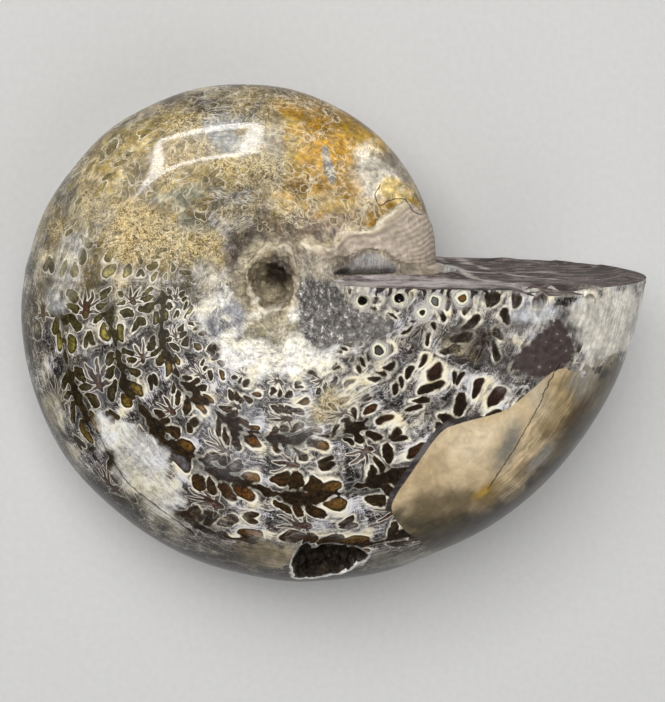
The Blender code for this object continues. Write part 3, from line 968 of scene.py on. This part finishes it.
    # between the rows stand dark stars with fingers, and a tongue ahead of some of them
    valley = add("Math FLOOR", [movedAcross])
    _, foldedValley = acrossFrom(add("Math ADD", [valley, 0.5]))
    starPlace = add("CombineXYZ", [along, foldedValley, 0.0])
    star = None
    for centre, size, turn in suture["starFingers"]:
        finger = addLeaf(starPlace, (*centre, 0), size, turn)
        star = add("Math SMOOTH_MIN", [star, finger, 0.006]) if star else finger
    starMm = add("Math MULTIPLY", [star, reach])
    starMm = add("Math MULTIPLY_ADD", [frillStep, 0.15, starMm])
    tongueWall, tongueAlong = findWall(0.35)
    centre, size, turn = suture["tongue"]
    tongue = addLeaf(add("CombineXYZ", [tongueAlong, foldedValley, 0.0]), (*centre, 0), size, turn)
    tongueChance = add("TexWhiteNoise", [add("CombineXYZ", [tongueWall, valley, 3.0])]).outputs["Value"]
    missing = add("Math GREATER_THAN", [tongueChance, 0.55])
    tongue = add("Math MULTIPLY_ADD", [missing, 0.1, tongue])
    plantMm = add("Math MINIMUM", [plantMm, add("Math MULTIPLY", [tongue, reach])])

    # the stone between: dark by the stems and stars, lavender to white ahead of the leaves, and
    # fibrous along the growth, as calcite grew out from the walls
    clouds = add("TexNoise", [place, 1 / 6.5, 7.0, 0.64])
    fibrePlace = add("VectorMath MULTIPLY", [moved, (4.0, 22.0, 0.0)])
    fibres = add("TexNoise", [fibrePlace, 1.0, 3.0, 0.6, 2.0, 0.5])
    clouds = add("Math MULTIPLY_ADD", [fibres, 0.55, clouds])
    clouds = add("MapRange", [clouds, 0.63, 0.95, 0.0, 1.0], clamp=False)
    clouds = add("Math ADD", [clouds, alphas["markings"]])
    nearStem, nearStar, nearTip = (
        add("MapRange", [distance, start, end, change, 0.0], interpolation_type="SMOOTHSTEP")
        for distance, start, end, change in (
            (stem, 0.0, 0.05, -0.50),
            (star, 0.004, 0.045, -0.38),
            (tipLeaf, 0.004, 0.034, 0.42),
        )
    )
    lift = add("Math ADD", [add("Math ADD", [nearStem, nearStar]), nearTip])
    clouds = add("Math MULTIPLY_ADD", [lift, sutures, clouds])
    darkest = add("MapRange", [clear, 0.0, 1.0, 0.6, 0.76])
    darkest = add("Math MAXIMUM", [darkest, add("Math MULTIPLY", [skin, 0.95])])
    marbled = add("MapRange", [clouds, 0.0, 0.9, darkest, 1.2])
    richer = add("MapRange", [clear, 0.0, 1.0, 1.0, 1.02])
    ground = add("HueSaturation", [0.5, richer, marbled, 1.0, ground])
    creamier = add("TexNoise", [place, 1 / 5.0, 2.0, 0.5])
    blotched = add("MapRange", [creamier, 0.36, 0.56, 0.50, 0.98])
    ground = add("HueSaturation", [0.5, 1.16, blotched, clear, ground])
    creamCloud = add("MapRange", [clouds, 0.5, 1.0, 0.0, 0.22])
    ground = layPaint(ground, "E9DCBE", creamCloud, clear)
    speckled = add("MapRange", [frill, 0.3, 0.7, 0.72, 1.24])
    ground = add("HueSaturation", [0.5, 1.0, speckled, 1.0, ground])
    leafColour = add("HueSaturation", [0.5, 1.0, marbled, 1.0, leafColour])
    field = add("ValToRGB", [clouds], paints["field"])
    tint = add("ValToRGB", [creamier], paints["tint"])
    tinted = add("Mix", [1.0, field, tint], data_type="RGBA", blend_type="MULTIPLY")
    colour = layPaint(ground, tinted, field.outputs["Alpha"], mottle)

    def drawThreads(under, code, noise, width, strength, *shares):
        # thin lines where a noise is half-way between its ends
        offMiddle = add("Math ABSOLUTE", [add("Math SUBTRACT", [add("TexNoise", [place, *noise]), 0.5])])
        line = add("MapRange", [offMiddle, 0.0, width, strength, 0.0], interpolation_type="SMOOTHSTEP")
        return layPaint(under, code, line, *shares)

    # pale threads, 0.2 mm wide, coarse and fine
    notDark = add("MapRange", [clouds, 0.05, 0.45, 0.15, 1.0])
    for size, width, strength, code in threads["field"]:
        noise = (1 / size, 2.0, 0.5, 2.0, 1.1)
        colour = drawThreads(colour, code, noise, width, strength, notDark, mottle)

    # pale chalky stone is specked and finely cracked
    chalky = add("MapRange", [alphas["markings"], 0.08, 0.3, 0.0, 1.0])
    chalk = add("ValToRGB", [add("TexNoise", [place, 1 / 1.1, 8.0, 0.85])], paints["chalk"])
    colour = layPaint(colour, chalk, chalk.outputs["Alpha"], chalky)

    # the clear part: cream wisps, and fine dark cracks between them
    patchiness = add("MapRange", [sway, 0.42, 0.58, 0.1, 1.0])
    for size, width, strength, code in threads["clear"]:
        noise = (1 / size, 5.0, 0.62, 2.0, 0.8)
        colour = drawThreads(colour, code, noise, width, strength, patchiness, clear)

    # rounded leaves seen dimly through the clear part, each with a cream loop round it
    loopPlace = add("VectorMath MULTIPLY", [moved, (2.7, 4.0, 0.0)])
    loopPlace = add("VectorMath MULTIPLY_ADD", [curled, (1.2, 1.2, 0.0), loopPlace])
    loops = add("TexVoronoi", [loopPlace, 1.0, 0.0], voronoi_dimensions="2D").outputs
    loopChance = add("SeparateColor", [loops["Color"]]).outputs
    loopSize = add("MapRange", [loopChance["Green"], 0.0, 1.0, 0.20, 0.36])
    fromLoop = add("Math SUBTRACT", [loops["Distance"], loopSize])
    fromLoop = add("Math MULTIPLY_ADD", [frillStep, 0.12, fromLoop])
    fromLoop = add("MapRange", [fromLoop, -0.4, 0.2, 0.0, 1.0])
    loop = add("ValToRGB", [fromLoop], paints["loop"])
    chosen = add("MapRange", [loopChance["Red"], 0.5, 0.75, 0.0, 0.75])
    colour = layPaint(colour, loop, loop.outputs["Alpha"], chosen, clear)

    # golden lace: curly yellow threads round 0.75 mm meshes
    meshes = add("TexNoise", [place, 1 / 0.75, 3.0, 0.6, 2.0, 0.8])
    lace = add("ValToRGB", [meshes], paints["lace"])
    laceShare = add("MapRange", [add("Math ADD", [sway, laced]), 0.90, 1.18, 0.0, 1.0])
    colour = layPaint(colour, lace, lace.outputs["Alpha"], laceShare)

    # the stars, then the leaves over them, with a pale rim and a glow inside
    tipGlow, sideGlow = (
        add("MapRange", [distance, -0.15, deepest, 0.0, most], interpolation_type="SMOOTHSTEP")
        for distance, deepest, most in ((tipMm, -0.85, 1.0), (sideMm, -1.0, 0.42))
    )
    depths = add("MapRange", [frill, 0.35, 0.65, 0.65, 1.0])
    glow = add("Math MULTIPLY", [add("Math MAXIMUM", [tipGlow, sideGlow]), depths])
    lit = add("MapRange", [glowChance, 0, 1, 0.5, 1.5])
    lit = add("HueSaturation", [0.5, 1.0, lit, 1.0, leafColour])
    forward = add("MapRange", [along, -0.095, -0.005, 0.0, 1.0])
    brighter = add("MapRange", [forward, 0.0, 1.0, 0.6, 2.0])
    lit = add("HueSaturation", [0.5, 1.0, brighter, 1.0, lit])
    paleLeaf = add("Math GREATER_THAN", [leanChance, 0.965])
    lit = layPaint(lit, "57555A", paleLeaf, depths)
    starRim = add("MapRange", [along, -0.21, -0.16, 1.0, 0.3])
    patchy = add("MapRange", [curl, 0.36, 0.56, 0.35, 1.0])
    offStem = add("MapRange", [stem, 0.0, 0.02, 0.3, 1.0])
    worn = add("MapRange", [frill, 0.36, 0.58, 0.3, 1.0])
    leafRim = add("Math MULTIPLY", [add("Math MULTIPLY", [patchy, offStem]), worn])
    fewerStars = add("MapRange", [noStem, 0.0, 1.0, 1.0, 0.35])
    starsThere = add("Math MULTIPLY", [fewerStars, sutures])
    rimSwell = add("MapRange", [creamier, 0.36, 0.64, 0.65, 1.35])
    rimSwell = add("Math MULTIPLY", [rimSwell, alphas["leaf"]])
    rimmed = add("Math DIVIDE", [plantMm, rimSwell])
    inStem = add("MapRange", [fibres, 0.44, 0.68, 0.0, 0.4])
    inStem = add("Math MAXIMUM", [inStem, add("Math MULTIPLY", [clear, 0.5])])
    veined = add("MapRange", [meshes, 0.38, 0.62, 0.4, 1.7])
    for distance, stops, rim, there in (
        (starMm, paints["star"], starRim, starsThere),
        (rimmed, paints["leaf"], leafRim, sutures),
    ):
        scaled = add("MapRange", [distance, -2.0, 2.0, 0.0, 1.0])
        paint = add("ValToRGB", [scaled], [((out + 2) / 4, code, share) for out, code, share in stops])
        share = add("Math MULTIPLY", [paint.outputs["Alpha"], there])
        outside = add("MapRange", [distance, -0.12, 0.0, 1.0, rim])
        inCore = add("MapRange", [distance, -0.22, -0.04, 1.0, 0.0])
        within = add("MapRange", [distance, -0.30, -0.05, inStem, 0.0])
        paint = layPaint(paint, leafColour, within)
        if rim is leafRim:
            paint = layPaint(paint, lit, glow)
        paint = add("HueSaturation", [0.5, 1.0, veined, inCore, paint])
        colour = layPaint(colour, paint, share, outside)

    # a comb of dark stubs, 2.1 mm apart, hangs from the saw edge
    fromAxis = add("VectorMath SUBTRACT", [place, coil["pole"]])
    fromAxis = add("VectorMath MULTIPLY_ADD", [curled, (1.6,) * 3, fromAxis])
    alongSaw, acrossSaw, overMiddle = (
        add("VectorMath DOT_PRODUCT", [fromAxis, axis]).outputs["Value"] for axis in coilAxes.T.tolist()
    )
    flatPlace = add("CombineXYZ", [alongSaw, acrossSaw, 0.0])
    comb = add("Math MULTIPLY", [alongSaw, math.tau / 2.1])
    combSway = add("MapRange", [curl, 0.3, 0.7, -1.6, 1.6], clamp=False)
    comb = add("Math SINE", [add("Math ADD", [comb, combSway])])
    stubEnd = add("MapRange", [comb, -0.1, 0.9, 0.2, 1.9])
    stub = add("Math SUBTRACT", [written["fromSaw"], stubEnd])
    stub = add("Math MULTIPLY_ADD", [frillStep, 0.9, stub])
    stubShare = add("MapRange", [stub, -0.30, 0.0, 0.95, 0.0])
    starts = add("MapRange", [alongSaw, 20.0, 23.0, 0.0, 1.0])
    ends = add("MapRange", [alongSaw, 46.0, 56.0, 1.0, 0.0])
    colour = layPaint(colour, "1C1613", stubShare, starts, ends)

    # pits and small leaves cut across near the sawn face, each with its cream ring
    onNearFlank = add("Math GREATER_THAN", [overMiddle, 10.0])
    for x, y, core, code in nearPlaces["rings"]:
        gap = add("VectorMath DISTANCE", [flatPlace, (x, y, 0)]).outputs["Value"]
        gap = add("Math MULTIPLY_ADD", [frillStep, 0.35, add("Math SUBTRACT", [gap, core])])
        gap = add("MapRange", [gap, -1.0, 2.0, 0.0, 1.0])
        ring = add("ValToRGB", [gap], [(0.20, code), *paints["ring"]])
        colour = layPaint(colour, ring, ring.outputs["Alpha"], onNearFlank)

    # patches with crisp edges: grey matrix, a dark shard, the body chamber's filling with its dark band
    matrixGrain = add("TexNoise", [place, 1 / 1.3, 8.0, 0.8])
    matrix = add("ValToRGB", [matrixGrain], paints["matrix"])
    shard = add("ValToRGB", [frill], paints["shard"])
    band = add("ValToRGB", [clouds], paints["band"])
    fleshGrain = add("TexNoise", [place, 1 / 2.2, 6.0, 0.62, 2.0, 0.6])
    fleshGrain = add("MapRange", [fleshGrain, 0.35, 0.65, 0.80, 1.14])
    flesh = add("HueSaturation", [0.5, 1.0, fleshGrain, 1.0, colours["fleshStone"]])
    streaks = add("MapRange", [fibres, 0.34, 0.70, 0.68, 1.36])
    flesh = add("HueSaturation", [0.5, 1.0, streaks, written["pastCrack"], flesh])
    bandWidth = add("MapRange", [alphas["fleshStone"], 0.0, 1.0, -0.2, 1.3])
    bandEdge = add("Math SUBTRACT", [fleshEdge, bandWidth])
    for gap, ragged, soft, paint in (
        (matrixEdge, 0.9, 0.15, matrix),
        (shardEdge, 0.9, 0.25, shard),
        (bandEdge, 0.5, 0.2, band),
        (fleshEdge, 0.12, 0.07, flesh),
    ):
        edge = add("Math MULTIPLY_ADD", [frillStep, ragged, gap])
        colour = layPaint(colour, paint, add("MapRange", [edge, -soft, soft, 1.0, 0.0]))

    # the hollow at the keel, whose white lip is widest on the side of the keel
    hollowEdge = add("Math MULTIPLY_ADD", [frillStep, 0.25, written["hollowEdge"]])
    hollow = add("ValToRGB", [add("MapRange", [hollowEdge, -3.0, 1.0, 0.0, 1.0])], paints["hollow"])
    hollowInside = add("MapRange", [hollowEdge, -0.5, -0.2, 1.0, 0.0])
    hollowGrain = add("MapRange", [meshes, 0.42, 0.62, 0.5, 3.2])
    lipShare = add("MapRange", [acrossSaw, -57.0, -60.5, 0.25, 1.0])
    lipShare = add("Math MAXIMUM", [lipShare, hollowInside])
    colour = layPaint(colour, hollow, hollow.outputs["Alpha"], lipShare)
    colour = add("HueSaturation", [0.5, 1.0, hollowGrain, hollowInside, colour])
    gritty = add("MapRange", [matrixGrain, 0.36, 0.64, 0.55, 1.35])
    unpolished = add("MapRange", [gloss, 0.0, 0.7, 1.0, 0.0])
    unpolished = add("Math SUBTRACT", [unpolished, skin])
    gritShare = add("Math MAXIMUM", [unpolished, add("Math MULTIPLY", [clear, 0.65])])
    colour = add("HueSaturation", [0.5, 1.0, gritty, gritShare, colour])

    # a pale crest along the outer shell's edge and round the umbilicus, partly a painted highlight, with
    # painted shade in the hollow below it and a thin painted shadow line beside it
    lipSwell = add("MapRange", [creamier, 0.4, 0.6, -0.5, 0.5], clamp=False)
    lipFade = add("MapRange", [matrixGrain, 0.38, 0.58, 0.35, 0.85])
    for name in ("skinLip", "holeLip"):
        fromLip = add("Math ADD", [written[name], lipSwell])
        fromLip = add("Math MULTIPLY_ADD", [frillStep, 0.6, fromLip])
        lip = add("ValToRGB", [add("MapRange", [fromLip, -2.6, 0.8, 0.0, 1.0])], paints["lip"])
        colour = layPaint(colour, lip, lip.outputs["Alpha"], lipFade)

    # the cracks are dark lines
    acrossCrack = add("Math MULTIPLY_ADD", [frillStep, 0.4, written["acrossCrack"]])
    crackShare = add("MapRange", [add("Math ABSOLUTE", [acrossCrack]), 0.06, 0.18, 0.85, 0.0])
    alongCrack = add("MapRange", [alphas["edges"], 0.8, 1.1, 1.0, 0.0])
    colour = layPaint(colour, "1B1713", crackShare, alongCrack)

    # growth lines on the outer shell, one every 1.8 degrees of growth
    growth = add("SeparateXYZ", [coilMap]).outputs["X"]
    growthLinesAndFoldShade = add("Math MULTIPLY", [growth, math.tau * suture["step"] / 1.8])
    waver = add("MapRange", [sway, 0.3, 0.7, -4.0, 4.0])
    growthLinesAndFoldShade = add("Math SINE", [add("Math ADD", [growthLinesAndFoldShade, waver])])
    growthLinesAndFoldShade = add("Math MULTIPLY", [growthLinesAndFoldShade, add("MapRange", [reach, 28.0, 34.0, 0.04, 1.0])])
    # and folds along its upper edge, one every 1.7 mm, towards the umbilicus, bumped and also painted as pale
    # bands with painted shade between
    folds = add("Math SINE", [add("Math MULTIPLY_ADD", [written["skinLip"], math.tau / 1.7, waver])])
    foldShare = add("MapRange", [reach, 26.0, 34.0, 1.3, 0.0])
    growthLinesAndFoldShade = add("Math MULTIPLY_ADD", [folds, foldShare, growthLinesAndFoldShade])
    lineShare = add("Math MULTIPLY", [growthLinesAndFoldShade, skin])
    # darker along the growth lines, and painted highlight and shade on the folds
    dim = add("MapRange", [lineShare, -1.0, 1.0, 0.84, 1.12])
    colour = add("HueSaturation", [0.5, 1.0, dim, 1.0, colour])

    grain = add("TexNoise", [place, 1 / 0.9, 3.0, 0.6])
    grainHeight = add("Math MULTIPLY", [grain, add("Math SUBTRACT", [1.0, gloss])])
    height = add("Math MULTIPLY_ADD", [lineShare, 0.2, grainHeight])
    shader = {
        "Base Color": colour,
        "Roughness": add("MapRange", [gloss, 0.0, 1.0, 0.62, 0.32]),
        "Coat Weight": add("MapRange", [alphas["surface"], 0.0, 1.0, 0.0, 0.6]),
        "Normal": add("Bump", [0.8, 0.25 * mm, None, height]),
        "IOR": 1.5,
        "Specular IOR Level": 0.3,
        "Coat Roughness": 0.07,
    }
    add("OutputMaterial", [add("BsdfPrincipled", shader)])
    return material


def makeSawnStone():
    # Limestone and calcite inside the last whorl, cut with a diamond saw and left unpolished:
    # dark maroon stone with fine pale lines that the blade left, duller than the shell.
    material, add, place = startMaterial("sawnLimestone")
    stone = add("Attribute", attribute_name="sawnStone")
    bladeTurn = (0, math.radians(-7), 0)
    acrossBlade = add("Mapping", [place, (0, 0, 0), bladeTurn, (0.28, 0.7, 0.7)])
    bladeLines = add("TexNoise", [acrossBlade, 0.75, 6.0, 0.68, 2.2, 0.5])
    paleLines = add("ValToRGB", [bladeLines], paints["bladeLines"])
    colour = add("Mix", [paleLines.outputs["Alpha"], stone, paleLines], data_type="RGBA")
    specks = add("TexNoise", [place, 1 / 0.8, 4.0, 0.7])
    dim = add("MapRange", [specks, 0.3, 0.7, 0.72, 1.3])
    colour = add("HueSaturation", [0.5, 1.0, dim, 1.0, colour])
    alongBlade = add("Mapping", [place, (0, 0, 0), bladeTurn, (0.03, 1.0, 1.0)])
    scratches = add("TexNoise", [alongBlade, 2.4, 2.0, 0.6])
    scratched = add("MapRange", [scratches, 0.35, 0.65, 0.86, 1.16])
    colour = add("HueSaturation", [0.5, 1.0, scratched, 1.0, colour])
    height = add("Math MULTIPLY_ADD", [scratches, 0.5, specks])
    bump = add("Bump", [0.6, 0.15 * mm, None, height])
    shader = add("BsdfPrincipled", {"Base Color": colour, "Normal": bump, "Roughness": 0.6, "IOR": 1.4})
    add("OutputMaterial", [shader])
    return material


piece = makeShell()
untouched = toCoil(readAll(piece.data.vertices, "co"))
carveShell(piece)
paintShell(piece, untouched)
middles = unrollShell(piece, untouched)
chooseMaterials(piece, middles)
piece.data.materials.append(makePolishedShell())
piece.data.materials.append(makeSawnStone())
bpy.ops.object.shade_smooth_by_angle(angle=shell["creaseAngle"])
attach(piece, "root")
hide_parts("ammonite_fossil")
print("materials made:", len(piece.data.polygons), "faces")

# The studio: a pale floor, one large soft light overhead and strip lights that the polish mirrors.
studio = {
    "floor": "C9C8C6",
    "fibre": "C5C4C2",  # darker fibres in the card
    "sky": "8E9196",
    "skyStrength": 0.26,
    "softPower": 20.0,
    "softSize": 1.1,
    "softPlace": (-0.25, 0.45, 1.2),
    "fillPower": 5.2,
    "stripPower": 60.0,  # watts a square metre
    "stripHeight": 0.6,
    "stripWidths": (0.06, 0.11, 0.05, 0.03),
    # corners of the strip lights' frame, in metres
    "stripCorners": [(-0.283, 0.232), (-0.56, 0.80), (0.0, 0.57), (-0.004, 0.215)],
}


def makeStudio():
    bpy.ops.mesh.primitive_plane_add(size=12.0)
    floor = bpy.context.object
    floor.name = "floor"
    card = bpy.data.materials.new("paleCard")
    card.use_nodes = True
    tree = card.node_tree
    shader = tree.nodes["Principled BSDF"]
    fibre = addNode(tree, "TexNoise", [None, 7800.0, 2.0, 0.5])
    tint = addNode(tree, "ValToRGB", [fibre], [(0.3, studio["fibre"]), (0.7, studio["floor"])])
    tree.links.new(tint.outputs["Color"], shader.inputs["Base Color"])
    shader.inputs["Roughness"].default_value = 0.8
    floor.data.materials.append(card)

    world = bpy.data.worlds.new("sky")
    bpy.context.scene.world = world
    world.use_nodes = True
    background = world.node_tree.nodes["Background"]
    background.inputs["Color"].default_value = (*srgb(studio["sky"]), 1.0)
    background.inputs["Strength"].default_value = studio["skyStrength"]

    def addLight(name, place, aim, size, power, glossy):
        bpy.ops.object.light_add(type="AREA", location=place)
        lamp = bpy.context.object
        lamp.name = name
        lamp.data.shape = "RECTANGLE"
        lamp.data.size, lamp.data.size_y = size
        lamp.data.energy = power
        lamp.rotation_euler = (Vector(aim) - Vector(place)).to_track_quat("-Z", "Y").to_euler()
        lamp.visible_glossy = glossy
        return lamp

    middle = (0, 0, 0.03)
    soft = studio["softSize"]
    addLight("softLight", studio["softPlace"], middle, (soft, soft), studio["softPower"], False)
    addLight("fillLight", (0.5, -0.7, 0.9), middle, (soft, soft), studio["fillPower"], False)
    corners = studio["stripCorners"]
    for index, (start, width) in enumerate(zip(corners, studio["stripWidths"])):
        end = corners[(index + 1) % len(corners)]
        length = math.dist(start, end)
        middleOfStrip = ((start[0] + end[0]) / 2, (start[1] + end[1]) / 2, studio["stripHeight"])
        strip = addLight(
            f"stripLight{index + 1}",
            middleOfStrip,
            (middleOfStrip[0], middleOfStrip[1], 0),
            (length, width),
            studio["stripPower"] * length * width,
            True,
        )
        strip.rotation_euler = (0, 0, math.atan2(end[1] - start[1], end[0] - start[0]))
        strip.visible_diffuse = False
    print("studio lit")


makeStudio()

# The camera looks down on the near flank, its place and tilt given in the coil's own axes.
view = {"place": (13.908, 14.441, 335.418), "tilt": 5.0, "lens": 76.923}


def makeCamera():
    bpy.ops.object.camera_add()
    camera = bpy.context.object
    camera.name = "camera"
    camera.data.lens = view["lens"]
    camera.data.sensor_width = 36.0
    camera.data.clip_start = 0.01
    tilt = math.radians(view["tilt"])
    back = coilTurn @ Vector((0.0, math.sin(tilt), math.cos(tilt)))
    right = coilTurn @ Vector((1.0, 0.0, 0.0))
    turn = Matrix((right, back.cross(right), back)).transposed().to_4x4()
    place = coilTurn @ Vector(view["place"]) + Vector(coil["pole"])
    camera.matrix_world = Matrix.Translation(place * mm) @ turn
    bpy.context.scene.camera = camera


makeCamera()
bpy.context.scene.view_settings.view_transform = "Standard"

print("done")
